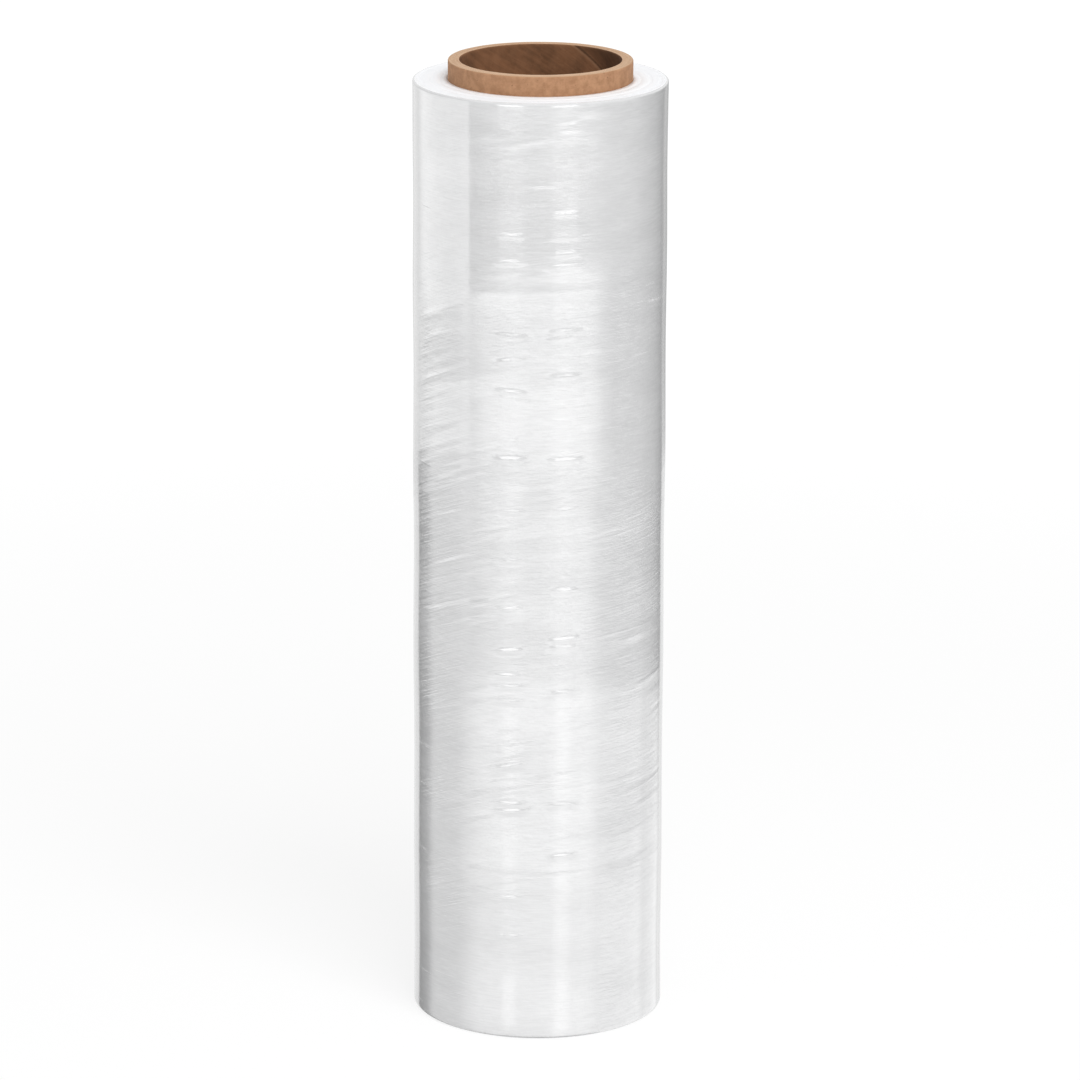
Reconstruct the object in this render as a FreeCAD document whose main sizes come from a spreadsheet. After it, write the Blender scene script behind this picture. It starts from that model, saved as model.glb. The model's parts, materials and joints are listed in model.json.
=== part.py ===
import FreeCAD, Part
import math
import os
import Sketcher

# A hand roll of stretch film on a spiral-wound cardboard core, standing on one end.
# Millimetres, +Z up, origin on the roll's axis in the plane that it stands on.

# Driving dimensions: alias, value, what it measures
SIZES = [
    ("CoreBore", 76.2, "inside diameter of the core, the three inch standard"),
    ("CoreWall", 5.5, "thickness of the wound cardboard"),
    ("CoreStub", 9.4, "length of core that stands clear above the film"),
    ("CoreRimBevel", 0.6, "worn bevel along the core's cut rims"),
    ("FilmWidth", 457.2, "width of the film, which is the height of the wound body"),
    ("FilmBuild", 16.7, "thickness of all the wound turns together"),
    ("FilmTopBevel", 0.9, "bevel of the wound body's upper outer edge"),
    ("FilmFootBevel", 1.6, "bevel of the outer edge that the roll stands on"),
    ("StepWidth", 1.8, "width of a shallow valley between bands of turns on an end"),
    ("StepDepth", 0.25, "depth of such a valley"),
    ("LaneDepth", 0.35, "how far the film's thin lanes lie below its thick ones"),
    ("RidgeHeight", 0.4, "how far a tension ridge stands out of the outer turn"),
    ("RidgeWidth", 2.4, "width of a tension ridge at its foot"),
    ("RidgeRoot", 3.0, "depth of a ridge's section below its crest"),
    ("RidgeShift", 2.2, "how far a ridge's circle lies off the axis, which buries its ends"),
    ("RidgeSpread", 120.0, "degrees of turn between a ridge's two buried ends"),
]

# Valleys between bands of turns on an end, as parts of the build from core to outside
TOP_VALLEYS = [0.22, 0.50, 0.80]
FOOT_VALLEYS = [0.30, 0.70]

# Thick and thin lanes by turns, from thin near the foot, as parts of the film's width
LANES = [0.07, 0.17, 0.29, 0.39, 0.51, 0.60, 0.72, 0.83, 0.92]

# Tension ridges: degrees round from the front, height as a part of the width, slope
RIDGES = [
    (-52.0, 0.775, 21.0),
    (-60.0, 0.700, 22.0),
    (-46.0, 0.560, 19.0),
    (-38.0, 0.515, 18.0),
    (-54.0, 0.455, 19.0),
    (-42.0, 0.250, 21.0),
    (-50.0, 0.135, 18.0),
    (42.0, 0.545, 6.0),
    (48.0, 0.440, 5.0),
    (40.0, 0.275, 5.0),
    (62.0, 0.220, 7.0),
    (108.0, 0.330, 12.0),
    (142.0, 0.640, 15.0),
    (176.0, 0.480, 17.0),
    (-148.0, 0.810, 18.0),
    (-118.0, 0.380, 20.0),
]

# Sizes that follow from the driving ones
BORE_RADIUS = "Sizes.CoreBore / 2"
CORE_RADIUS = "(Sizes.CoreBore / 2 + Sizes.CoreWall)"
ROLL_RADIUS = "(Sizes.CoreBore / 2 + Sizes.CoreWall + Sizes.FilmBuild)"
CORE_LENGTH = "(Sizes.FilmWidth + Sizes.CoreStub)"

FRONT = -90.0
FULL_TURN = 360.0
GROUND = "0"
UP = FreeCAD.Vector(0, 0, 1)
OUTWARD = FreeCAD.Vector(1, 0, 0)
UPRIGHT = FreeCAD.Rotation(OUTWARD, 90.0)


# Sheet that holds the driving dimensions
def make_sheet(doc):
    sheet = doc.addObject("Spreadsheet::Sheet", "Sizes")
    for row, (alias, value, note) in enumerate(SIZES, start=1):
        sheet.set(f"A{row}", alias)
        sheet.set(f"B{row}", str(value))
        sheet.set(f"C{row}", note)
        sheet.setAlias(f"B{row}", alias)
    doc.recompute()
    return sheet


# One of a body's own origin planes or axes
def origin_feature(body, role):
    for feature in body.Origin.OriginFeatures:
        if feature.Role == role:
            return feature
    raise RuntimeError(f"{body.Name} has no {role}")


# Closed line of a sketch, each corner held at a radius and a height
def hold_corners(sketch, sheet, corners):
    points = []
    for radius, height in corners:
        across = sheet.evalExpression(radius)
        up = sheet.evalExpression(height)
        points.append(FreeCAD.Vector(across, up, 0))
    count = len(points)
    for side in range(count):
        sketch.addGeometry(Part.LineSegment(points[side], points[(side + 1) % count]), False)
    for side in range(count):
        following = (side + 1) % count
        sketch.addConstraint(Sketcher.Constraint("Coincident", side, 2, following, 1))
    for corner, (radius, height) in enumerate(corners):
        held = Sketcher.Constraint("DistanceX", -1, 1, corner, 1, points[corner].x)
        index = sketch.addConstraint(held)
        sketch.setExpression(f"Constraints[{index}]", radius)
        if height == GROUND:
            sketch.addConstraint(Sketcher.Constraint("PointOnObject", corner, 1, -1))
            continue
        held = Sketcher.Constraint("DistanceY", -1, 1, corner, 1, points[corner].y)
        index = sketch.addConstraint(held)
        sketch.setExpression(f"Constraints[{index}]", height)


# Outline beside the axis, on the body's own upright plane
def outline(body, sheet, name, corners):
    sketch = body.newObject("Sketcher::SketchObject", name)
    sketch.AttachmentSupport = [(origin_feature(body, "XZ_Plane"), "")]
    sketch.MapMode = "FlatFace"
    hold_corners(sketch, sheet, corners)
    return sketch


# Body turned about the axis from an outline
def turned_body(doc, sheet, name, corners):
    body = doc.addObject("PartDesign::Body", name)
    section = outline(body, sheet, f"{name}_section", corners)
    turned = body.newObject("PartDesign::Revolution", f"{name}_turned")
    turned.Profile = section
    turned.ReferenceAxis = (section, ["V_Axis"])
    turned.Angle = FULL_TURN
    doc.recompute()
    return body


# Core's section: a tube wall whose cut rims are worn to a bevel
def core_corners():
    inner = BORE_RADIUS
    outer = CORE_RADIUS
    bevel = "Sizes.CoreRimBevel"
    return [
        (f"{inner} + {bevel}", GROUND),
        (outer, GROUND),
        (outer, f"{CORE_LENGTH} - {bevel}"),
        (f"{outer} - {bevel}", CORE_LENGTH),
        (f"{inner} + {bevel}", CORE_LENGTH),
        (inner, f"{CORE_LENGTH} - {bevel}"),
        (inner, bevel),
    ]


# Core: one wound cardboard tube, open right through
def make_core(doc, sheet):
    return turned_body(doc, sheet, "cardboard_core", core_corners())


# Three corners of a shallow valley on an end, in the order of the valley's parts
def valley(part, face, inward):
    middle = f"{CORE_RADIUS} + Sizes.FilmBuild * {part}"
    return [
        (f"{middle} - Sizes.StepWidth / 2", face),
        (middle, f"{face} {inward} Sizes.StepDepth"),
        (f"{middle} + Sizes.StepWidth / 2", face),
    ]


# Film's section: foot, lanes up the outside, and top, with a valley between turn bands
def film_corners():
    top = "Sizes.FilmWidth"
    foot = [(CORE_RADIUS, GROUND)]
    for part in FOOT_VALLEYS:
        foot += valley(part, GROUND, "+")
    foot.append((f"{ROLL_RADIUS} - Sizes.FilmFootBevel", GROUND))
    side = [(ROLL_RADIUS, "Sizes.FilmFootBevel")]
    for number, part in enumerate(LANES):
        thin = number % 2 == 0
        radius = f"{ROLL_RADIUS} - Sizes.LaneDepth" if thin else ROLL_RADIUS
        side.append((radius, f"{top} * {part}"))
    side.append((ROLL_RADIUS, f"{top} - Sizes.FilmTopBevel"))
    end = [(f"{ROLL_RADIUS} - Sizes.FilmTopBevel", top)]
    for part in reversed(TOP_VALLEYS):
        end += reversed(valley(part, top, "-"))
    end.append((CORE_RADIUS, top))
    return foot + side + end


# Ridge's section in its own circle: a low crest on a root that is sunk in the turns
def ridge_section(doc, sheet):
    crest = f"{ROLL_RADIUS} + Sizes.RidgeHeight - Sizes.RidgeShift"
    root = f"{crest} - Sizes.RidgeRoot"
    half = "Sizes.RidgeWidth / 2 * Sizes.RidgeRoot / Sizes.RidgeHeight"
    corners = [(root, f"-{half}"), (crest, GROUND), (root, half)]
    sketch = doc.addObject("Sketcher::SketchObject", "ridge_section")
    sketch.Placement = FreeCAD.Placement(FreeCAD.Vector(), UPRIGHT)
    hold_corners(sketch, sheet, corners)
    return sketch


# Tension ridges: tilted arcs of that section that sink into the outer turn at both ends
def tension_ridges(doc, sheet):
    section = ridge_section(doc, sheet)
    ridges = []
    for number, (azimuth, part, slope) in enumerate(RIDGES, start=1):
        ridge = doc.addObject("Part::Revolution", f"tension_ridge_{number}")
        ridge.Source = section
        ridge.Axis = UP
        ridge.Symmetric = True
        ridge.Solid = True
        ridge.setExpression("Angle", "Sizes.RidgeSpread")
        heading = azimuth + FRONT
        sloped = FreeCAD.Rotation(OUTWARD, slope)
        ridge.Placement.Rotation = FreeCAD.Rotation(UP, heading).multiply(sloped)
        across = math.cos(math.radians(heading))
        along = math.sin(math.radians(heading))
        ridge.setExpression("Placement.Base.x", f"Sizes.RidgeShift * ({across})")
        ridge.setExpression("Placement.Base.y", f"Sizes.RidgeShift * ({along})")
        ridge.setExpression("Placement.Base.z", f"Sizes.FilmWidth * {part}")
        ridges.append(ridge)
    return ridges


# Film: every turn as one wound body on the core, with its lanes, end valleys and ridges
def make_film(doc, sheet):
    turns = turned_body(doc, sheet, "film_turns", film_corners())
    ridges = doc.addObject("Part::MultiFuse", "ridge_set")
    ridges.Shapes = tension_ridges(doc, sheet)
    film = doc.addObject("Part::Fuse", "film_roll")
    film.Base = turns
    film.Tool = ridges
    return film


# Every object sound, and every sub-part one valid solid
def check(doc, parts):
    for item in doc.Objects:
        if "Invalid" in item.State or "Error" in item.State:
            raise RuntimeError(f"{item.Label} did not build: {item.State}")
    for part in parts:
        if part.Shape.isNull() or not part.Shape.isValid():
            raise RuntimeError(f"{part.Label} is not a valid shape")
        if len(part.Shape.Solids) != 1:
            raise RuntimeError(f"{part.Label} is not one solid")


def main():
    doc = FreeCAD.newDocument("stretch_wrap_roll")
    sheet = make_sheet(doc)
    parts = [make_core(doc, sheet), make_film(doc, sheet)]
    doc.recompute()
    check(doc, parts)
    os.makedirs("parts", exist_ok=True)
    for part in parts:
        part.Shape.exportStep(f"parts/{part.Label}.step")
        print(part.Label, "volume", round(part.Shape.Volume), "faces", len(part.Shape.Faces))


main()
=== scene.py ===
import json
import math

import bmesh
import bpy
import numpy as np
from mathutils import Matrix, Vector


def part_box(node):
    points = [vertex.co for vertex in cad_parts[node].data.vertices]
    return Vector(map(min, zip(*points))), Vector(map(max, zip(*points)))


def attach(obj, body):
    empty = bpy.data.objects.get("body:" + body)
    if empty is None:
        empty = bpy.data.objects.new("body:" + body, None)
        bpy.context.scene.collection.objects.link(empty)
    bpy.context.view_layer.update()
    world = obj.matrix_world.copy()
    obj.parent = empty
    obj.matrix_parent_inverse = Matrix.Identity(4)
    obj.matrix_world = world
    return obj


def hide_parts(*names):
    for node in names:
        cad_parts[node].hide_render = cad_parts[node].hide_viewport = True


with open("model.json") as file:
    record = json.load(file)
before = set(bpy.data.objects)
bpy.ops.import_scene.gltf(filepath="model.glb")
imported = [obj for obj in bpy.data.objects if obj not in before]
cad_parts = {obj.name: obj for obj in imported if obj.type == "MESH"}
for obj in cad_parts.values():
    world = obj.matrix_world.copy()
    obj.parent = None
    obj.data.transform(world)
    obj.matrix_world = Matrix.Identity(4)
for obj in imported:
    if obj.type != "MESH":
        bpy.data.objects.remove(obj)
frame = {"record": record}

# A hand roll of stretch film on a cardboard core. Metres; the camera stands on the -Y side.
# Azimuth is counted in degrees from the front (-Y) towards +X.

MM = 0.001
RNG = np.random.default_rng(4117)

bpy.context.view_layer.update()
_, film_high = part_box("film_roll")
_, core_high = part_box("cardboard_core")
core_mount = next(m for m in frame["record"]["mounts"] if m["name"] == "core_bore")

# Sizes from the frame
FILM_WIDTH = film_high[2]
CORE_LENGTH = core_high[2]
BORE_RADIUS = core_mount["dims"]["r_mm"] * MM

# Sizes that the frame's boxes don't give
CORE_WALL = 5.5 * MM
FILM_BUILD = 16.7 * MM
CORE_RADIUS = BORE_RADIUS + CORE_WALL
ROLL_RADIUS = CORE_RADIUS + FILM_BUILD
FILM_TOP_ROUND = 1.0 * MM
FILM_FOOT_ROUND = 1.8 * MM

# Mesh of the film's side
FILM_COLUMNS = 176
FILM_ROWS = 520

# Valleys between bands of turns on an end, as parts of the build from core to outside
TOP_VALLEYS = [0.22, 0.50, 0.80]
FOOT_VALLEYS = [0.30, 0.70]
VALLEY_WIDTH = 1.8 * MM
VALLEY_DEPTH = 0.25 * MM
END_RINGS = 9
END_ROUGHNESS = 0.05 * MM

# Thin and thick lanes by turns, from thin near the foot, as parts of the film's width.
# A turn is eased over LANE_EASE rows. From the first to the second of UPPER_LANES a drop
# sets in, which is larger on the left than on the right.
LANES = [0.07, 0.17, 0.29, 0.39, 0.51, 0.60, 0.72, 0.83, 0.92]
LANE_DEPTH = 0.35 * MM
LANE_EASE = 20
LANE_DROP = 8.0 * MM
LANE_SWAY = 11.0 * MM
UPPER_LANES = (0.62, 0.80)

# Slow unevenness of the side: waves round and along it, and level bands
WAVES = 14
WAVE_HEIGHT = (0.012 * MM, 0.035 * MM)
BANDS = 26
BAND_WIDTH = (2.0 * MM, 7.0 * MM)
BAND_HEIGHT = 0.022 * MM

# Parts of the width that scattered bands and wrinkles keep to
SCATTERED = (0.03, 0.97)

# Heights over which the relief grows from nothing next to the film's ends
CALM_EDGE = (1.0 * MM, 9.0 * MM)

# Main tension ridges: azimuth, height as a part of the width, slope in degrees, strength
RIDGES = [
    (-52.0, 0.775, 21.0, 1.0),
    (-60.0, 0.700, 22.0, 1.0),
    (-46.0, 0.560, 19.0, 1.0),
    (-38.0, 0.515, 18.0, 1.0),
    (-54.0, 0.455, 19.0, 1.0),
    (-42.0, 0.250, 21.0, 1.0),
    (-50.0, 0.135, 18.0, 1.0),
    (42.0, 0.545, 6.0, 1.0),
    (48.0, 0.440, 5.0, 1.0),
    (40.0, 0.275, 5.0, 0.4),
    (62.0, 0.220, 7.0, 0.45),
    (108.0, 0.330, 12.0, 1.0),
    (142.0, 0.640, 15.0, 1.0),
    (176.0, 0.480, 17.0, 1.0),
    (-148.0, 0.810, 18.0, 1.0),
    (-118.0, 0.380, 20.0, 1.0),
]
RIDGE_HEIGHT = 0.035 * MM
RIDGE_WIDTH = 0.95 * MM
RIDGE_HALF = (26.0 * MM, 38.0 * MM)

# Gatherings of fine wrinkles: azimuth, height part, spread of each, how many, strength.
# Wrinkles scatter by a part of these spreads.
GATHERINGS = [
    (-62.0, 0.735, 20.0, 0.030, 20, 0.25),
    (-58.0, 0.680, 18.0, 0.022, 20, 0.3),
    (-50.0, 0.575, 22.0, 0.035, 60, 0.8),
    (-40.0, 0.530, 20.0, 0.030, 60, 0.9),
    (-50.0, 0.465, 24.0, 0.030, 54, 0.8),
    (-54.0, 0.370, 20.0, 0.050, 34, 0.7),
    (-46.0, 0.255, 20.0, 0.020, 30, 0.8),
    (-48.0, 0.150, 24.0, 0.030, 26, 0.8),
    (52.0, 0.550, 22.0, 0.016, 26, 0.5),
    (48.0, 0.460, 26.0, 0.035, 52, 0.6),
    (54.0, 0.290, 22.0, 0.035, 14, 0.15),
    (62.0, 0.215, 16.0, 0.030, 8, 0.15),
    (46.0, 0.170, 16.0, 0.015, 10, 0.3),
    (0.0, 0.590, 20.0, 0.012, 14, 0.7),
    (-12.0, 0.315, 8.0, 0.018, 12, 1.0),
    (2.0, 0.285, 7.0, 0.015, 10, 1.0),
    (110.0, 0.340, 26.0, 0.060, 50, 0.8),
    (140.0, 0.620, 26.0, 0.060, 50, 0.8),
    (176.0, 0.480, 26.0, 0.070, 60, 0.8),
    (-146.0, 0.780, 26.0, 0.050, 50, 0.8),
    (-116.0, 0.400, 24.0, 0.070, 60, 0.8),
]
GATHER_ROUND = 0.6
GATHER_UP = 0.7
WRINKLE_HALF = (12.0 * MM, 42.0 * MM)
WRINKLE_WIDTH = (0.75 * MM, 1.4 * MM)
WRINKLE_HEIGHT = (0.010 * MM, 0.038 * MM)
WRINKLE_SCATTER = 2.4
STRAY_WRINKLES = 200
STRAY_STRENGTH = 0.55

# Strength of the shader's own wrinkles away from the gatherings, and the degrees over
# which they fade at the back, where the ends of the grain map meet
STRAY_GATHER = 0.22
GRAIN_JOINT = (4.0, 16.0)

# Long creases: azimuth, height in mm, slope in degrees, half length in mm, bend, strength
CREASES = [
    (-40.0, 262.0, 18.0, 34.0, -0.10, 1.0),
    (-45.0, 234.0, 22.0, 27.0, -0.07, 1.0),
    (-31.0, 247.0, 19.0, 11.0, 0.0, 1.0),
    (-39.0, 213.5, 15.0, 36.0, -0.11, 1.0),
    (47.0, 223.0, 6.0, 30.0, 0.0, 1.0),
    (52.0, 250.5, -4.0, 29.0, 0.0, 1.0),
    (60.0, 200.5, 1.0, 17.0, 0.0, 1.0),
    (46.0, 196.0, 0.5, 16.0, 0.0, 1.0),
    (-23.0, 257.0, 23.0, 8.0, 0.0, 1.0),
    (-54.0, 351.5, 20.0, 23.0, -0.08, 1.0),
    (-57.0, 340.5, 29.0, 10.0, 0.0, 1.0),
    (-56.0, 327.0, 25.0, 17.0, 0.0, 1.0),
    (-57.0, 321.0, 26.0, 10.0, 0.0, 1.0),
    (21.0, 396.0, 0.0, 39.0, 0.0, 1.0),
    (3.0, 419.0, 0.0, 17.0, 0.0, 1.0),
    (50.0, 98.7, -0.6, 35.0, -0.02, 0.45),
    (57.0, 111.0, 0.0, 11.0, 0.0, 0.4),
    (49.0, 77.2, 0.0, 14.0, 0.0, 0.4),
    (-40.0, 67.5, 16.0, 31.0, -0.06, 1.0),
    (-62.0, 112.5, 25.0, 10.0, 0.0, 1.0),
    (-43.0, 113.0, 21.0, 17.0, -0.05, 1.0),
    (55.0, 125.5, 2.0, 15.0, 0.0, 0.5),
    (26.0, 213.8, 12.0, 6.0, 0.0, 1.0),
    (-20.0, 149.0, 40.0, 7.0, 0.0, 1.0),
    (-17.0, 153.0, 37.0, 6.0, 0.0, 1.0),
    (-23.0, 145.5, 41.0, 5.0, 0.0, 1.0),
    (-1.0, 132.5, -31.0, 9.0, 0.0, 1.0),
    (-4.0, 135.5, -28.0, 7.0, 0.0, 1.0),
    (2.0, 130.0, -30.0, 7.0, 0.0, 1.0),
]
CREASE_HEIGHT = 0.034 * MM
CREASE_WIDTH = (0.75 * MM, 1.0 * MM)

# Short ribs that glint: azimuth and height in mm. They get lower towards the top.
RIBS = [
    (12.0, 449.0), (14.0, 445.0), (12.0, 405.0), (-13.0, 394.5), (11.0, 394.0), (12.0, 386.0),
    (-13.0, 382.0), (10.0, 380.0), (12.0, 349.0), (-13.0, 346.6), (11.0, 346.0), (-13.0, 334.8),
    (12.0, 327.5), (-13.0, 319.7), (-13.0, 287.3), (12.0, 287.0), (-13.0, 265.8), (-12.0, 262.0),
    (12.0, 263.0), (-13.0, 238.0), (12.0, 223.7), (-13.0, 214.4), (12.0, 199.7), (-13.0, 193.8),
    (11.0, 196.0), (-14.0, 181.6), (-12.0, 176.2), (11.0, 173.3), (-13.0, 169.0), (-13.0, 136.6),
    (-13.0, 118.0), (-12.0, 114.5), (12.0, 117.5), (-13.0, 71.0), (11.0, 92.0), (-12.0, 51.4),
]
RIB_HEIGHT = 0.225 * MM
RIB_FALL = 0.90
RIB_HALF = (7.0 * MM, 10.0 * MM)
RIB_WIDTH = (0.95 * MM, 1.15 * MM)

# Slope of the wrinkles by azimuth, all in degrees. In front it turns from one slope to the
# other round a middle azimuth, and the back has a slope of its own.
SLOPE_LEFT = 21.0
SLOPE_RIGHT = 4.0
SLOPE_BEHIND = 15.0
SLOPE_TURN = -14.0
SLOPE_TURN_WIDTH = 16.0
BEHIND_FROM = 95.0
BEHIND_FADE = 30.0


def wrinkle_slope(azimuth):
    steep = 0.5 - 0.5 * np.tanh((np.asarray(azimuth) - SLOPE_TURN) / SLOPE_TURN_WIDTH)
    behind = np.clip((np.abs(azimuth) - BEHIND_FROM) / BEHIND_FADE, 0.0, 1.0)
    front = SLOPE_RIGHT + (SLOPE_LEFT - SLOPE_RIGHT) * steep
    return front * (1.0 - behind) + SLOPE_BEHIND * behind


# Smooth step from 0 to 1 between two values
def smooth(value, low, high):
    part = np.clip((value - low) / (high - low), 0.0, 1.0)
    return part * part * (3.0 - 2.0 * part)


# Azimuths of a lathe's columns, in radians
def column_azimuths(columns):
    return np.arange(columns) * (2.0 * math.pi / columns) - math.pi


# Corner points of each face of a closed lathe mesh
def lathe_faces(rings, columns):
    ring = np.arange(rings)[:, None]
    column = np.arange(columns)[None, :]
    following_ring = (ring + 1) % rings
    following_column = (column + 1) % columns
    corners = [
        ring * columns + column,
        ring * columns + following_column,
        following_ring * columns + following_column,
        following_ring * columns + column,
    ]
    spread = [np.broadcast_to(corner, (rings, columns)) for corner in corners]
    return np.stack(spread, axis=-1).reshape(-1, 4)


# Closed lathe mesh: radius and height of each point by ring and column, joined end to end
def lathe(name, radius, height):
    rings, columns = radius.shape
    azimuth = column_azimuths(columns)
    x = radius * np.sin(azimuth)
    y = -radius * np.cos(azimuth)
    points = np.stack([x, y, height], axis=-1).reshape(-1, 3)
    faces = lathe_faces(rings, columns)
    mesh = bpy.data.meshes.new(name)
    mesh.vertices.add(len(points))
    mesh.vertices.foreach_set("co", points.ravel())
    mesh.loops.add(faces.size)
    mesh.loops.foreach_set("vertex_index", faces.ravel())
    mesh.polygons.add(len(faces))
    mesh.polygons.foreach_set("loop_start", np.arange(0, faces.size, 4))
    mesh.polygons.foreach_set("use_smooth", np.ones(len(faces), dtype=bool))
    mesh.update(calc_edges=True)
    mesh.validate()
    piece = bpy.data.objects.new(name, mesh)
    bpy.context.scene.collection.objects.link(piece)
    return piece


# Map of a lathe's surface: metres round the roll, and the height given for each corner
def surface_map(piece, name, up):
    rings, columns = up.shape[0], up.shape[1] - 1
    around = np.arange(columns + 1) / columns * 2.0 * math.pi * ROLL_RADIUS
    across = np.broadcast_to(around, (rings, columns + 1))
    following = np.roll(up, -1, axis=0)
    left, right = slice(0, columns), slice(1, columns + 1)
    corner_u = [across[:, left], across[:, right], across[:, right], across[:, left]]
    corner_v = [up[:, left], up[:, right], following[:, right], following[:, left]]
    corners = np.stack([np.stack(corner_u, axis=-1), np.stack(corner_v, axis=-1)], axis=-1)
    layer = piece.data.uv_layers.new(name=name)
    layer.data.foreach_set("uv", corners.ravel())


# Film side: lanes, slow unevenness, main ridges and fine wrinkles, as heights over the roll
class FilmSide:
    def __init__(self, heights, columns):
        self.heights = heights
        self.azimuths = np.arange(columns) * (360.0 / columns) - 180.0
        self.relief = np.zeros((len(heights), columns))
        self.crowd = np.zeros((len(heights), columns))

    # Degrees of each column from an azimuth, either way round
    def away(self, azimuth):
        return (self.azimuths - azimuth + 180.0) % 360.0 - 180.0

    def lanes(self):
        ends = [FILM_FOOT_ROUND] + [part * FILM_WIDTH for part in LANES] + [FILM_WIDTH]
        lows = [-LANE_DEPTH if number % 2 == 0 else 0.0 for number in range(len(LANES))]
        side = np.interp(self.heights, ends, [0.0] + lows + [0.0])
        kernel = np.hanning(2 * LANE_EASE + 1)
        padded = np.pad(side, LANE_EASE, mode="edge")
        level = np.convolve(padded, kernel / kernel.sum(), mode="valid")
        low, high = UPPER_LANES
        upper = smooth(self.heights, low * FILM_WIDTH, high * FILM_WIDTH)
        drops = LANE_DROP - LANE_SWAY * np.sin(np.radians(self.azimuths))
        for column, drop in enumerate(drops):
            moved = self.heights + upper * drop
            self.relief[:, column] += np.interp(moved, self.heights, level)

    def unevenness(self):
        turn = np.radians(self.azimuths)[None, :]
        rise = self.heights[:, None] / FILM_WIDTH * 2.0 * math.pi
        for _ in range(WAVES):
            around = RNG.integers(1, 6)
            along = RNG.uniform(0.5, 7.0)
            phase = RNG.uniform(0.0, 2.0 * math.pi, 2)
            size = RNG.uniform(*WAVE_HEIGHT) / around ** 0.5
            wave = np.sin(around * turn + phase[0]) * np.sin(along * rise + phase[1])
            self.relief += size * wave
        for _ in range(BANDS):
            middle = RNG.uniform(*SCATTERED) * FILM_WIDTH
            width = RNG.uniform(*BAND_WIDTH)
            size = RNG.uniform(-BAND_HEIGHT, BAND_HEIGHT)
            self.relief += size * np.exp(-(((self.heights - middle) / width) ** 2))[:, None]

    # One fold: a bent line across the side, tapered to both ends. Lean makes it steeper
    # on one flank, and a higher taper keeps its height for longer.
    def fold(self, azimuth, height, slope, half_length, width, size, bend, lean, taper=2):
        along = np.radians(self.away(azimuth)) * ROLL_RADIUS
        columns = np.nonzero(np.abs(along) < half_length)[0]
        if len(columns) == 0:
            return
        along = along[columns]
        part = along / half_length
        sloped = math.tan(math.radians(slope)) * along
        line = height + sloped + bend * half_length * part * part
        reach = 4.0 * width
        near = (self.heights > line.min() - reach) & (self.heights < line.max() + reach)
        rows = np.nonzero(near)[0]
        if len(rows) == 0:
            return
        off = self.heights[rows][:, None] - line[None, :]
        breadth = width * (1.0 + lean * np.sign(off))
        tapered = (1.0 - np.abs(part) ** taper) ** 2
        shape = np.exp(-((off / breadth) ** 2)) * tapered[None, :]
        self.relief[np.ix_(rows, columns)] += size * shape

    def ridges(self):
        for azimuth, part, slope, strength in RIDGES:
            half_length = RNG.uniform(*RIDGE_HALF)
            width = RIDGE_WIDTH * RNG.uniform(0.9, 1.25)
            lean = RNG.uniform(-0.35, 0.35)
            bend = RNG.uniform(-0.05, 0.02)
            size = RIDGE_HEIGHT * strength
            self.fold(azimuth, part * FILM_WIDTH, slope, half_length, width, size, bend, lean)

    def creases(self):
        for azimuth, height, slope, half_length, bend, strength in CREASES:
            width = RNG.uniform(*CREASE_WIDTH)
            size = CREASE_HEIGHT * RNG.uniform(0.7, 1.3) * strength
            self.fold(azimuth, height * MM, slope, half_length * MM, width, size, bend, -0.3)

    def ribs(self):
        for azimuth, height in RIBS:
            half_length = RNG.uniform(*RIB_HALF)
            width = RNG.uniform(*RIB_WIDTH)
            part = height * MM / FILM_WIDTH
            size = RIB_HEIGHT * RNG.uniform(0.9, 1.2) * (1.0 - RIB_FALL * part * part)
            slope = RNG.normal(2.0, 3.0)
            self.fold(azimuth, height * MM, slope, half_length, width, size, 0.0, -0.25, taper=3)

    def wrinkle(self, azimuth, height, scale):
        slope = float(wrinkle_slope(azimuth)) + RNG.normal(0.0, WRINKLE_SCATTER)
        half_length = RNG.uniform(*WRINKLE_HALF)
        width = RNG.uniform(*WRINKLE_WIDTH)
        size = RNG.uniform(*WRINKLE_HEIGHT) * scale * RNG.choice([1.0, 1.0, -0.8])
        bend = RNG.normal(-0.02, 0.03)
        lean = RNG.uniform(-0.4, 0.4)
        self.fold(azimuth, height, slope, half_length, width, size, bend, lean)

    def gatherings(self):
        for azimuth, part, spread, rise, count, strength in GATHERINGS:
            for _ in range(count):
                at = azimuth + RNG.normal(0.0, spread * GATHER_ROUND)
                height = (part + RNG.normal(0.0, rise * GATHER_UP)) * FILM_WIDTH
                self.wrinkle(at, height, strength)
            around = np.exp(-((self.away(azimuth) / spread) ** 2))[None, :]
            off = (self.heights - part * FILM_WIDTH) / (rise * FILM_WIDTH)
            along = np.exp(-(off ** 2))[:, None]
            self.crowd = np.maximum(self.crowd, strength * around * along)

    def strays(self):
        for _ in range(STRAY_WRINKLES):
            azimuth = RNG.uniform(-180.0, 180.0)
            height = RNG.uniform(*SCATTERED) * FILM_WIDTH
            self.wrinkle(azimuth, height, STRAY_STRENGTH)

    # Relief that dies away towards both ends
    def settled(self):
        edge = np.minimum(self.heights, FILM_WIDTH - self.heights)
        return self.relief * smooth(edge, *CALM_EDGE)[:, None]


# Depth of each ring of an end: its valleys, and a little roughness
def end_relief(radii, valleys):
    sunk = np.zeros(len(radii))
    for part in valleys:
        away = np.abs(radii - (CORE_RADIUS + part * FILM_BUILD))
        sunk += VALLEY_DEPTH * np.clip(1.0 - away / (VALLEY_WIDTH / 2), 0.0, 1.0)
    return sunk + RNG.uniform(0.0, END_ROUGHNESS, len(radii))


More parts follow.
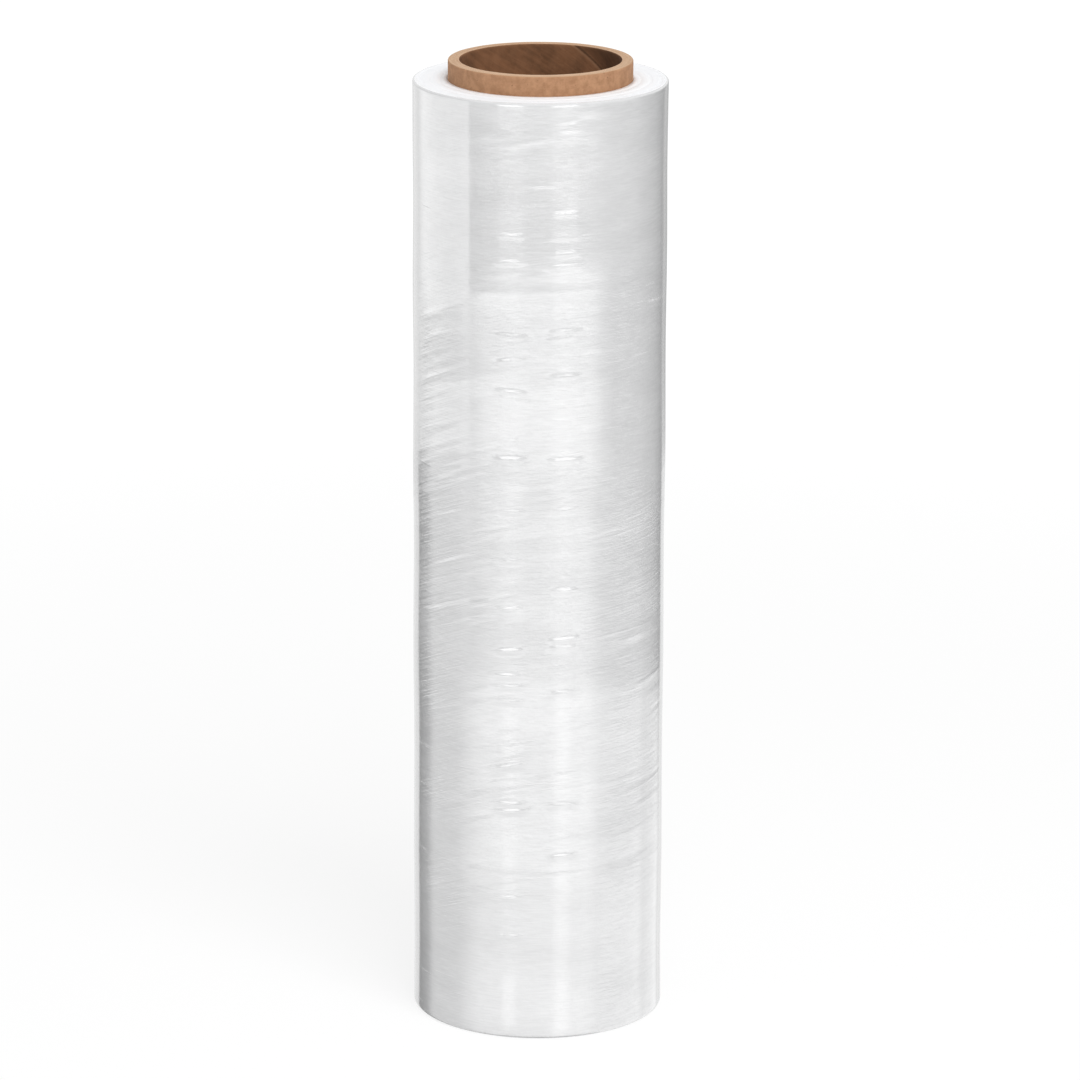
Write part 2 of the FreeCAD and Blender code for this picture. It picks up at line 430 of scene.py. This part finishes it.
# Radii of an end's rings: evenly spaced ones, and three at each valley
def end_radii(valleys, outer):
    radii = list(np.linspace(CORE_RADIUS + 0.05 * MM, outer, END_RINGS))
    for part in valleys:
        middle = CORE_RADIUS + part * FILM_BUILD
        radii += [middle - VALLEY_WIDTH / 2, middle, middle + VALLEY_WIDTH / 2]
    return np.unique(np.round(radii, 6))


# Quarter round between an end and the side, as radius and height offsets from its corner
def quarter_round(size, steps):
    angle = np.linspace(0.0, math.pi / 2, steps + 2)[1:-1]
    return size * (1.0 - np.sin(angle)), size * (1.0 - np.cos(angle))


# Film's rings from the core out along the foot, up the side and back in along the top,
# with the rows that are the side, and which rings show the turns' edges
def film_profile(heights):
    foot_radii = end_radii(FOOT_VALLEYS, ROLL_RADIUS - FILM_FOOT_ROUND)
    top_radii = end_radii(TOP_VALLEYS, ROLL_RADIUS - FILM_TOP_ROUND)
    foot_in, foot_up = quarter_round(FILM_FOOT_ROUND, 4)
    top_in, top_down = quarter_round(FILM_TOP_ROUND, 3)
    foot_sunk = end_relief(foot_radii, FOOT_VALLEYS)
    foot_sunk[[0, -1]] = 0.0
    top_sunk = end_relief(top_radii, TOP_VALLEYS)
    radius = np.concatenate([
        foot_radii,
        ROLL_RADIUS - foot_in,
        np.full(len(heights), ROLL_RADIUS),
        (ROLL_RADIUS - top_in)[::-1],
        top_radii[::-1],
    ])
    height = np.concatenate([
        foot_sunk,
        foot_up,
        heights,
        (FILM_WIDTH - top_down)[::-1],
        (FILM_WIDTH - top_sunk)[::-1],
    ])
    start = len(foot_radii) + len(foot_in)
    ends = np.zeros(len(radius), dtype=np.int32)
    ends[:len(foot_radii) - 1] = 1
    ends[len(radius) - len(top_radii):] = 1
    return radius, height, slice(start, start + len(heights)), ends


# Film's two maps: a plain one, and the grain, whose lines climb as the wrinkles do
def map_film(film, azimuths, ring_radius, ring_height):
    step = ROLL_RADIUS * math.radians(360.0 / FILM_COLUMNS)
    climbs = np.tan(np.radians(wrinkle_slope(azimuths))) * step
    climb = np.concatenate([[0.0], np.cumsum(climbs)])[None, :]
    across = ring_height[:, None] + (ROLL_RADIUS - ring_radius)[:, None]
    surface_map(film, "surface", np.repeat(across, FILM_COLUMNS + 1, axis=1))
    surface_map(film, "grain", across - climb)


# Where the shader's own wrinkles gather
def mark_gatherings(film, side, rows, rings):
    gather = np.zeros((rings, FILM_COLUMNS))
    joint = smooth(180.0 - np.abs(side.azimuths), *GRAIN_JOINT)
    gather[rows] = (STRAY_GATHER + (1.0 - STRAY_GATHER) * side.crowd) * joint
    layer = film.data.attributes.new("gather", "FLOAT", "POINT")
    layer.data.foreach_set("value", gather.ravel())


def build_film():
    heights = np.linspace(FILM_FOOT_ROUND, FILM_WIDTH - FILM_TOP_ROUND, FILM_ROWS)
    side = FilmSide(heights, FILM_COLUMNS)
    side.lanes()
    side.unevenness()
    side.ridges()
    side.creases()
    side.ribs()
    side.gatherings()
    side.strays()

    ring_radius, ring_height, rows, ends = film_profile(heights)
    radius = np.repeat(ring_radius[:, None], FILM_COLUMNS, axis=1)
    height = np.repeat(ring_height[:, None], FILM_COLUMNS, axis=1)
    radius[rows] += side.settled()
    film = lathe("wound_film", radius, height)
    map_film(film, side.azimuths, ring_radius, ring_height)
    mark_gatherings(film, side, rows, len(ring_radius))
    film.data.polygons.foreach_set("material_index", np.repeat(ends, FILM_COLUMNS))
    return film


# Core: cut rims with the ply edges just showing, and the ply seam winding down the bore
CORE_COLUMNS = 180
RIM_ROUND = 0.6 * MM
RIM_RINGS = 18
RIM_WAVES = (3, 5, 8, 13, 21, 34)
RIM_WAVE_HEIGHT = 0.03 * MM
RIM_SINK = 0.04 * MM
PLY = 0.55 * MM
PLY_HEIGHT = 0.035 * MM
SEAM_PITCH = 150.0 * MM
SEAM_WIDTH = 0.7 * MM
SEAM_DEPTH = 0.22 * MM
SEAM_START = math.radians(154.0)

# Heights from the seam's turn in the bore: the dark line's fade, the painted highlight on the
# lip under it and the painted shade over it
SEAM_FADE = (0.25 * MM, 1.0 * MM)
LIP_HIGHLIGHT_BAND = (-1.9 * MM, -0.7 * MM)
LIP_HIGHLIGHT_SOFT = 0.4 * MM
PAINTED_SHADE_BAND = (2.0 * MM, 46.0 * MM)
PAINTED_SHADE_SOFT = 3.0 * MM

# Rings of the core: closer together on the stub and in the part of the bore that shows
STUB_RINGS = 24
SUNK_RINGS = 20
FINE_BORE = 110.0 * MM
FINE_STEP = 1.0 * MM
COARSE_STEP = 2.2 * MM
COARSE_RINGS = 90


# Height above the seam's nearest turn, in metres either way
def from_seam(azimuth, height):
    turns = (height - CORE_LENGTH) / SEAM_PITCH - (azimuth - SEAM_START) / (2.0 * math.pi)
    return (turns - np.round(turns)) * SEAM_PITCH


# Slight waves of the cut rim round the core
def rim_waves(azimuth):
    ragged = np.zeros(len(azimuth))
    for waves in RIM_WAVES:
        ragged += np.sin(waves * azimuth + RNG.uniform(0.0, 2.0 * math.pi)) / waves ** 0.5
    return RIM_WAVE_HEIGHT * ragged - RIM_SINK


# Heights of the rings up the core's outside, and of those down its bore
def core_heights():
    sunk = np.linspace(RIM_ROUND, FILM_WIDTH - 6.0 * MM, SUNK_RINGS)
    stub = np.linspace(FILM_WIDTH - 3.0 * MM, CORE_LENGTH - RIM_ROUND, STUB_RINGS)
    fine = np.arange(CORE_LENGTH - RIM_ROUND, CORE_LENGTH - FINE_BORE, -FINE_STEP)
    coarse = np.linspace(fine[-1] - COARSE_STEP, RIM_ROUND, COARSE_RINGS)
    return np.concatenate([sunk, stub]), np.concatenate([fine, coarse])


# Core's rings up the outside, in over the upper rim, down the bore and out under the foot,
# with the rows that are the upper rim and those that are the bore
def core_profile(outer_heights, bore_heights):
    rim_in, rim_down = quarter_round(RIM_ROUND, 3)
    rim_radii = np.linspace(BORE_RADIUS + RIM_ROUND, CORE_RADIUS - RIM_ROUND, RIM_RINGS)
    plies = PLY_HEIGHT * (np.sin(2.0 * math.pi * rim_radii / PLY + 0.6) - 1.0)
    radius = np.concatenate([
        np.full(len(outer_heights), CORE_RADIUS),
        (CORE_RADIUS - rim_in)[::-1],
        rim_radii[::-1],
        BORE_RADIUS + rim_in,
        np.full(len(bore_heights), BORE_RADIUS),
        (BORE_RADIUS + rim_in)[::-1],
        rim_radii,
        CORE_RADIUS - rim_in,
    ])
    height = np.concatenate([
        outer_heights,
        (CORE_LENGTH - rim_down)[::-1],
        CORE_LENGTH + plies[::-1],
        CORE_LENGTH - rim_down,
        bore_heights,
        rim_down[::-1],
        np.zeros(len(rim_radii)),
        rim_down,
    ])
    start = len(outer_heights) + 2 * len(rim_in) + len(rim_radii)
    rim = slice(len(outer_heights), start)
    return radius, height, rim, slice(start, start + len(bore_heights))


def build_core():
    azimuth = column_azimuths(CORE_COLUMNS)
    outer_heights, bore_heights = core_heights()
    ring_radius, ring_height, rim, bore = core_profile(outer_heights, bore_heights)
    radius = np.repeat(ring_radius[:, None], CORE_COLUMNS, axis=1)
    height = np.repeat(ring_height[:, None], CORE_COLUMNS, axis=1)
    off = from_seam(azimuth[None, :], bore_heights[:, None])
    radius[bore] += SEAM_DEPTH * np.exp(-((off / SEAM_WIDTH) ** 2))
    height[rim] += rim_waves(azimuth)[None, :]
    return lathe("core_tube", radius, height)


# Node graph of a material or of the world, with a short call for each kind of node
class Graph:
    def __init__(self, owner):
        owner.use_nodes = True
        self.nodes = owner.node_tree.nodes
        self.links = owner.node_tree.links
        self.nodes.clear()

    def node(self, kind, inputs=None, **settings):
        made = self.nodes.new(kind)
        for name, value in settings.items():
            setattr(made, name, value)
        for name, value in (inputs or {}).items():
            if isinstance(value, bpy.types.NodeSocket):
                self.links.new(value, made.inputs[name])
            else:
                made.inputs[name].default_value = value
        return made

    def count(self, operation, *values):
        inputs = dict(enumerate(values))
        return self.node("ShaderNodeMath", inputs, operation=operation).outputs[0]

    # Sum of values, each times its weight
    def weigh(self, parts):
        total = 0.0
        for value, weight in parts:
            total = self.count("MULTIPLY_ADD", value, weight, total)
        return total

    def remap(self, value, low, high, to_low=0.0, to_high=1.0):
        inputs = {
            "Value": value,
            "From Min": low,
            "From Max": high,
            "To Min": to_low,
            "To Max": to_high,
        }
        made = self.node("ShaderNodeMapRange", inputs, interpolation_type="SMOOTHSTEP")
        return made.outputs["Result"]

    def band(self, value, low, high, soft):
        rise = self.remap(value, low - soft, low + soft)
        fall = self.remap(value, high - soft, high + soft, 1.0, 0.0)
        return self.count("MULTIPLY", rise, fall)

    def split(self, vector):
        return self.node("ShaderNodeSeparateXYZ", {0: vector}).outputs

    def join(self, x, y, z):
        return self.node("ShaderNodeCombineXYZ", {0: x, 1: y, 2: z}).outputs[0]

    def stretch(self, vector, x, y, z):
        inputs = {0: vector, 1: (x, y, z)}
        return self.node("ShaderNodeVectorMath", inputs, operation="MULTIPLY").outputs[0]

    def noise(self, vector, detail=2.0, roughness=0.5):
        inputs = {"Vector": vector, "Scale": 1.0, "Detail": detail, "Roughness": roughness}
        return self.node("ShaderNodeTexNoise", inputs).outputs[0]

    def blend(self, part, first, second):
        made = self.node("ShaderNodeMix", {0: part, 6: first, 7: second}, data_type="RGBA")
        return made.outputs[2]

    def levels(self, part, first, second):
        made = self.node("ShaderNodeMix", {0: part, 2: first, 3: second}, data_type="FLOAT")
        return made.outputs[0]

    def bump(self, height):
        inputs = {"Height": height, "Distance": 1.0, "Strength": 1.0}
        return self.node("ShaderNodeBump", inputs).outputs[0]

    # Sharp lines where a noise crosses its middle level
    def crease(self, vector, power):
        swing = self.count("MULTIPLY_ADD", self.noise(vector, 3.0, 0.5), 2.0, -1.0)
        nearness = self.count("SUBTRACT", 1.0, self.count("ABSOLUTE", swing))
        return self.count("POWER", nearness, power)

    def from_axis(self, x, y):
        squares = self.count("ADD", self.count("MULTIPLY", x, x), self.count("MULTIPLY", y, y))
        return self.count("SQRT", squares)

    # Angle round the axis from the front towards +X, in radians
    def turned(self, x, y):
        return self.count("ARCTAN2", x, self.count("MULTIPLY", y, -1.0))

    def place(self, output="Object"):
        return self.node("ShaderNodeTexCoord").outputs[output]

    def map(self, name):
        return self.node("ShaderNodeUVMap", uv_map=name).outputs[0]

    def finish(self, shader):
        is_world = shader.node.bl_idname == "ShaderNodeBackground"
        kind = "ShaderNodeOutputWorld" if is_world else "ShaderNodeOutputMaterial"
        self.node(kind, {"Surface": shader})


def linear(red, green, blue):
    return (red, green, blue, 1.0)


# Film in the roll: clear milk with less and more air in it, and the white of the turns' edges
MILK_CLEAR = linear(0.628, 0.630, 0.635)
MILK_AIRY = linear(0.724, 0.726, 0.731)
EDGE_COOL = linear(0.93, 0.95, 0.98)
EDGE_WHITE = linear(0.96, 0.975, 0.99)

# Kraft board: its outside, its cut rims and its bore, whose colours are darkened as painted
# shade, with painted shade above the seam and a painted highlight on its lip
KRAFT_DARK = linear(0.34, 0.170, 0.088)
KRAFT_LIGHT = linear(0.50, 0.270, 0.150)
KRAFT_FIBRE = linear(0.58, 0.35, 0.200)
KRAFT_FLECK = linear(0.20, 0.11, 0.065)
CUT_DARK = linear(0.46, 0.275, 0.160)
CUT_LIGHT = linear(0.72, 0.51, 0.35)
# Bore colours: patchy board tone, darkened as painted shade of the deep tube
SHADED_BORE_DARK = linear(0.080, 0.033, 0.014)
SHADED_BORE_LIGHT = linear(0.300, 0.135, 0.064)
PAINTED_SEAM_SHADE = linear(0.050, 0.022, 0.010)
PAINTED_LIP_HIGHLIGHT = linear(0.42, 0.25, 0.15)
SEAM_LINE = linear(0.10, 0.055, 0.03)


# Fine relief of the film: hair lines all round, short dashes, and wrinkles where it gathers
def film_normal(g, place):
    gather = g.node("ShaderNodeAttribute", attribute_name="gather").outputs["Fac"]
    grain = g.map("grain")
    hair = g.noise(g.stretch(place, 24.0, 24.0, 1500.0), 2.0, 0.65)
    dashes = g.noise(g.stretch(place, 95.0, 95.0, 850.0), 2.0, 0.6)
    waves = g.noise(g.stretch(place, 50.0, 50.0, 260.0), 1.0)
    rare = g.noise(g.stretch(place, 26.0, 26.0, 520.0), 2.0, 0.6)
    glints = g.remap(rare, 0.66, 0.80)
    fine = g.count("MULTIPLY", g.crease(g.stretch(grain, 26.0, 640.0, 1.0), 7.0), gather)
    broad = g.count("MULTIPLY", g.crease(g.stretch(grain, 17.0, 270.0, 1.0), 6.0), gather)
    return g.bump(g.weigh([
        (hair, 0.024 * MM),
        (dashes, 0.036 * MM),
        (waves, 0.040 * MM),
        (glints, 0.060 * MM),
        (fine, 0.055 * MM),
        (broad, 0.060 * MM),
    ]))


# Wound clear film: milky in the roll, glossy, lined all round and wrinkled where it gathers
def film_material():
    made = bpy.data.materials.new("wound_film")
    g = Graph(made)
    place = g.place()
    cloud = g.noise(g.stretch(place, 22.0, 22.0, 60.0), 3.0, 0.5)
    streak = g.noise(g.stretch(place, 120.0, 120.0, 1300.0), 3.0, 0.7)
    air = g.levels(0.5, g.remap(cloud, 0.3, 0.7), g.remap(streak, 0.33, 0.67))
    tangent = g.node("ShaderNodeTangent", direction_type="RADIAL", axis="Z").outputs[0]
    shader = g.node("ShaderNodeBsdfPrincipled", {
        "Base Color": g.blend(air, MILK_CLEAR, MILK_AIRY),
        "Roughness": 0.10,
        "IOR": 1.85,
        "Anisotropic": 0.5,
        "Anisotropic Rotation": 0.25,
        "Tangent": tangent,
        "Coat Weight": 1.0,
        "Coat Roughness": 0.06,
        "Coat IOR": 1.5,
        "Normal": film_normal(g, place),
    })
    g.finish(shader.outputs[0])
    return made


# Edges of the film's turns on the two ends: white, satin and faintly ringed
def edge_material():
    made = bpy.data.materials.new("film_edges")
    g = Graph(made)
    place = g.place()
    x, y, _ = g.split(place)
    drift_x, drift_y, _ = g.split(g.stretch(place, 12.0, 12.0, 12.0))
    across = g.count("MULTIPLY", g.from_axis(x, y), 2600.0)
    turns = g.noise(g.join(across, drift_x, drift_y), 2.0, 0.7)
    shader = g.node("ShaderNodeBsdfPrincipled", {
        "Base Color": g.blend(g.remap(turns, 0.25, 0.75), EDGE_COOL, EDGE_WHITE),
        "Roughness": 0.5,
        "IOR": 1.35,
        "Normal": g.bump(g.count("MULTIPLY", turns, 0.03 * MM)),
    })
    g.finish(shader.outputs[0])
    return made


# How far a point of the board is in the bore, and on a cut rim
def board_sides(g, radius):
    inside = g.remap(radius, BORE_RADIUS + 0.45 * MM, BORE_RADIUS + 0.15 * MM)
    outside = g.remap(radius, CORE_RADIUS - 0.35 * MM, CORE_RADIUS - 0.05 * MM)
    cut = g.count("SUBTRACT", g.count("SUBTRACT", 1.0, inside), outside)
    return inside, cut


# Height above the nearest turn of the bore's seam, as from_seam gives it for the mesh
def above_seam(g, turned, z):
    below = g.count("DIVIDE", g.count("SUBTRACT", z, CORE_LENGTH), SEAM_PITCH)
    round_part = g.count("DIVIDE", g.count("SUBTRACT", turned, SEAM_START), 2.0 * math.pi)
    turns = g.count("SUBTRACT", below, round_part)
    nearest = g.count("SUBTRACT", turns, g.count("ROUND", turns))
    return g.count("MULTIPLY", nearest, SEAM_PITCH)


# Board's colour with the bore's laid over it: patchy and darkened as painted shade, with more
# painted shade above the seam and a painted highlight on its lip
def bore_colour_with_painted_light(g, colour, place, turned, z, inside):
    above = above_seam(g, turned, z)
    seam = g.remap(g.count("ABSOLUTE", above), *SEAM_FADE, 1.0, 0.0)
    # Painted highlight on the lip under the seam
    lip_highlight = g.band(above, *LIP_HIGHLIGHT_BAND, LIP_HIGHLIGHT_SOFT)
    # Painted shade on the bore wall above the seam
    painted_shade = g.band(above, *PAINTED_SHADE_BAND, PAINTED_SHADE_SOFT)
    along = g.join(g.count("MULTIPLY", above, 330.0), g.count("MULTIPLY", turned, 1.6), 0.0)
    trail = g.noise(along, 3.0, 0.6)
    mottle = g.noise(g.stretch(place, 70.0, 70.0, 45.0), 4.0, 0.6)
    patchy = g.levels(0.45, g.remap(mottle, 0.35, 0.65), g.remap(trail, 0.3, 0.7))
    # The bore's patchy tone carries painted shade, as do the band above the seam and the painted
    # highlight on the lip
    layers = [
        (1.0, 0.78, g.blend(patchy, SHADED_BORE_DARK, SHADED_BORE_LIGHT)),
        (painted_shade, 0.55, PAINTED_SEAM_SHADE),
        (lip_highlight, 0.30, PAINTED_LIP_HIGHLIGHT),
        (seam, 0.7, SEAM_LINE),
    ]
    for where, strength, layer in layers:
        part = g.count("MULTIPLY", g.count("MULTIPLY", where, inside), strength)
        colour = g.blend(part, colour, layer)
    return colour


# Kraft board: brown, fibrous, lighter where it is cut, with the ply seam down the bore, and
# painted shade and a painted highlight in the bore
def board_material():
    made = bpy.data.materials.new("core_board")
    g = Graph(made)
    place = g.place()
    x, y, z = g.split(place)
    radius = g.from_axis(x, y)
    turned = g.turned(x, y)
    inside, cut = board_sides(g, radius)

    pulp = g.noise(g.stretch(place, 260.0, 260.0, 260.0), 5.0, 0.65)
    fibre = g.noise(g.stretch(place, 700.0, 700.0, 2400.0), 3.0, 0.6)
    fleck = g.noise(g.stretch(place, 900.0, 900.0, 900.0), 1.0)
    across = g.count("MULTIPLY", radius, 2.2 / PLY)
    ply = g.noise(g.join(across, g.count("MULTIPLY", turned, 2.5), 0.0), 2.0)
    wave = g.count("SINE", g.count("MULTIPLY", radius, 2.0 * math.pi / PLY))
    ring = g.count("MULTIPLY_ADD", wave, 0.28, ply)

    brown = g.blend(g.remap(pulp, 0.3, 0.72), KRAFT_DARK, KRAFT_LIGHT)
    brown = g.blend(g.count("MULTIPLY", fibre, 0.35), brown, KRAFT_FIBRE)
    edge = g.blend(g.remap(ring, 0.2, 0.85), CUT_DARK, CUT_LIGHT)
    colour = g.blend(cut, brown, edge)
    colour = g.blend(g.remap(fleck, 0.72, 0.80), colour, KRAFT_FLECK)
    relief = [(fibre, 0.05 * MM), (pulp, 0.06 * MM), (g.count("MULTIPLY", ring, cut), 0.05 * MM)]
    shader = g.node("ShaderNodeBsdfPrincipled", {
        "Base Color": bore_colour_with_painted_light(g, colour, place, turned, z, inside),
        "Roughness": 0.82,
        "Specular IOR Level": 0.3,
        "Normal": g.bump(g.weigh(relief)),
    })
    g.finish(shader.outputs[0])
    return made


# Soft studio round the roll: a white room with cards and flags that only gloss sees.
# Each card: azimuths from the camera side towards +X, elevations, brightness, softness of
# both. A card covers those before it.
CARDS = [
    (-181.0, 181.0, -0.5, 91.0, 0.90, 2.0, 2.0),
    (-24.0, 70.0, -13.0, -11.7, 0.20, 16.0, 0.6),
    (-70.0, 100.0, -11.5, -0.5, 0.62, 4.0, 0.6),
    (98.0, 112.0, -17.2, -11.6, 0.12, 6.0, 0.5),
    (-119.0, -42.0, -60.0, -14.3, 0.80, 10.0, 0.5),
    (-76.0, -40.0, -14.3, -13.35, 2.50, 7.0, 0.35),
    (-57.0, 58.0, -14.1, -13.35, 5.00, 16.0, 0.45),
    (-52.0, 50.0, -15.6, -14.2, 2.15, 13.0, 0.5),
    (-42.0, 48.0, -60.0, -15.5, 1.30, 10.0, 0.5),
    (-70.0, 68.0, -18.9, -17.2, 2.60, 14.0, 0.5),
    (-66.0, 60.0, -60.0, -18.9, 1.75, 14.0, 0.4),
    (-50.0, 60.0, -17.7, -16.9, 3.30, 14.0, 0.3),
    (55.0, 119.0, -60.0, -17.2, 1.80, 12.0, 0.6),
    (-190.0, -67.0, -13.9, -1.0, 1.75, 1.0, 0.5),
    (-125.0, -66.0, -14.0, -12.6, 2.60, 5.0, 0.4),
    (-200.0, -136.0, -14.4, -1.0, 0.95, 9.0, 0.3),
    (-192.0, -162.0, -14.4, -1.0, 0.78, 4.0, 0.3),
    (-145.0, -112.0, -14.6, -13.6, 1.25, 5.0, 0.4),
    (-192.0, -141.0, -15.0, -14.0, 0.85, 2.0, 0.5),
    (-146.0, -124.0, -60.0, -14.7, 0.0, 9.0, 0.4),
    (-192.0, -145.0, -60.0, -14.8, 0.88, 3.0, 0.5),
    (114.0, 150.0, -16.3, -7.0, 0.08, 7.0, 0.5),
    (150.0, 192.0, -14.4, -0.5, 0.45, 5.0, 0.4),
    (152.0, 192.0, -60.0, -14.4, 0.85, 3.0, 0.7),
    (114.0, 152.0, -60.0, -17.1, 1.30, 9.0, 0.6),
    (-32.0, -20.0, -18.9, -17.75, 4.20, 4.0, 0.15),
    (16.0, 29.0, -60.0, -18.9, 2.30, 5.0, 0.5),
    (16.0, 29.0, -18.9, -17.6, 3.60, 5.0, 0.3),
    (-38.0, -15.0, -8.4, 1.0, 4.20, 3.0, 0.6),
    (11.0, 34.0, -8.4, 1.0, 3.90, 3.0, 0.6),
]
ROOM_DARK = 0.06
DOME = 0.56


def build_world():
    world = bpy.data.worlds.new("studio")
    bpy.context.scene.world = world
    g = Graph(world)
    x, y, z = g.split(g.place("Generated"))
    azimuth = g.count("DEGREES", g.turned(x, y))
    elevation = g.count("DEGREES", g.count("ARCSINE", z))
    level = ROOM_DARK
    for left, right, low, high, bright, soft_round, soft_up in CARDS:
        across = g.band(azimuth, left, right, soft_round)
        along = g.band(elevation, low, high, soft_up)
        level = g.levels(g.count("MULTIPLY", across, along), level, bright)
    path = g.node("ShaderNodeLightPath").outputs
    strength = g.levels(path["Is Glossy Ray"], DOME, level)
    strength = g.levels(path["Is Camera Ray"], strength, 1.0)
    inputs = {"Color": linear(1.0, 1.0, 1.0), "Strength": strength}
    g.finish(g.node("ShaderNodeBackground", inputs).outputs[0])


# Pale floor that fades to the white of the room with distance and keeps the soft shadow.
# It lies just under the core's foot.
FLOOR_RADIUS = 6.0
FLOOR_DROP = 0.2 * MM
FLOOR_COLOUR = linear(0.95, 0.95, 0.95)
FLOOR_GLOW = 1.05
FLOOR_FADE = (0.3, 1.8)
FLOOR_FADED = (0.72, 1.0)


def floor_material():
    made = bpy.data.materials.new("floor")
    g = Graph(made)
    away = g.node("ShaderNodeVectorMath", {0: g.place()}, operation="LENGTH").outputs["Value"]
    diffuse = g.node("ShaderNodeBsdfDiffuse", {"Color": FLOOR_COLOUR}).outputs[0]
    white = {"Color": linear(1.0, 1.0, 1.0), "Strength": FLOOR_GLOW}
    glow = g.node("ShaderNodeEmission", white).outputs[0]
    part = g.remap(away, *FLOOR_FADE, *FLOOR_FADED)
    g.finish(g.node("ShaderNodeMixShader", {0: part, 1: diffuse, 2: glow}).outputs[0])
    return made


def build_floor():
    mesh = bpy.data.meshes.new("floor")
    built = bmesh.new()
    bmesh.ops.create_circle(built, cap_ends=True, radius=FLOOR_RADIUS, segments=96)
    built.to_mesh(mesh)
    built.free()
    mesh.materials.append(floor_material())
    floor = bpy.data.objects.new("floor", mesh)
    bpy.context.scene.collection.objects.link(floor)
    floor.location.z = -FLOOR_DROP
    floor.visible_glossy = False


# Key lamp: a soft square high in front, a little to the right, that gloss doesn't see
KEY_PLACE = (0.52, -1.25, 2.25)
KEY_AIM = (0.0, 0.0, 0.25)
KEY_SIZE = 1.2
KEY_POWER = 31.0


def build_key():
    lamp = bpy.data.lights.new("key", "AREA")
    lamp.shape = "SQUARE"
    lamp.size = KEY_SIZE
    lamp.energy = KEY_POWER
    key = bpy.data.objects.new("key", lamp)
    key.location = KEY_PLACE
    heading = Vector(KEY_AIM) - Vector(KEY_PLACE)
    key.rotation_euler = heading.to_track_quat("-Z", "Y").to_euler()
    key.visible_glossy = False
    key.visible_camera = False
    bpy.context.scene.collection.objects.link(key)


# Camera of the photograph, fitted to the outlines of the rim, the film's top and its foot
CAMERA_PLACE = (0.002825, -2.8154, 1.0120)
CAMERA_DOWN = 0.2702
CAMERA_TURN = 0.0008
CAMERA_ROLL = 0.0038
CAMERA_LENS = 202.97
CAMERA_SENSOR = 36.0


def build_camera():
    data = bpy.data.cameras.new("camera")
    data.sensor_width = CAMERA_SENSOR
    data.lens = CAMERA_LENS
    camera = bpy.data.objects.new("camera", data)
    turn = Matrix.Rotation(CAMERA_TURN, 4, "Z")
    tilt = Matrix.Rotation(math.pi / 2 - CAMERA_DOWN, 4, "X")
    roll = Matrix.Rotation(CAMERA_ROLL, 4, "Z")
    camera.matrix_world = Matrix.Translation(CAMERA_PLACE) @ turn @ tilt @ roll
    bpy.context.scene.collection.objects.link(camera)
    bpy.context.scene.camera = camera


def dress(piece, materials, node):
    for material in materials:
        piece.data.materials.append(material)
    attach(piece, "root")
    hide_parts(node)


bpy.context.scene.view_settings.view_transform = "Standard"
build_camera()
build_world()
build_key()
build_floor()
dress(build_film(), [film_material(), edge_material()], "film_roll")
dress(build_core(), [board_material()], "cardboard_core")
